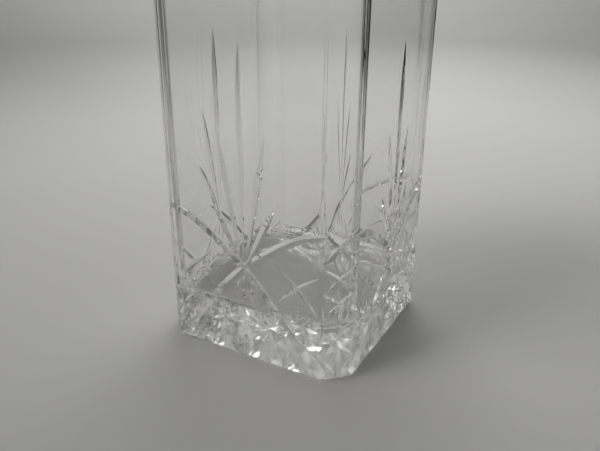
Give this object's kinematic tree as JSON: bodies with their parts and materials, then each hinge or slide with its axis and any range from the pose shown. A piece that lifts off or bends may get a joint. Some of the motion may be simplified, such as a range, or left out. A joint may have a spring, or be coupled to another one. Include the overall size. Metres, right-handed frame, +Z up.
{
  "type": "cut crystal vase",
  "caption": "Tall square vase in clear cut crystal: straight walls, canted corners, thick base, open well for stems, wheel-cut arcs, rays and stars on every side, plainer by one corner.",
  "frame": {"origin": "centre of the underside, on the surface the vase stands on", "axes": "+Z up along the vase's axis towards the open rim, -Y out of one wide side, +X out of the next wide side"},
  "size_m": [0.088, 0.088, 0.2],
  "materials": {
    "crystal": "polished clear lead crystal with polished mitre cuts"
  },
  "bodies": {
    "root": {"vase_body": "crystal"}
  },
  "joints": []
}
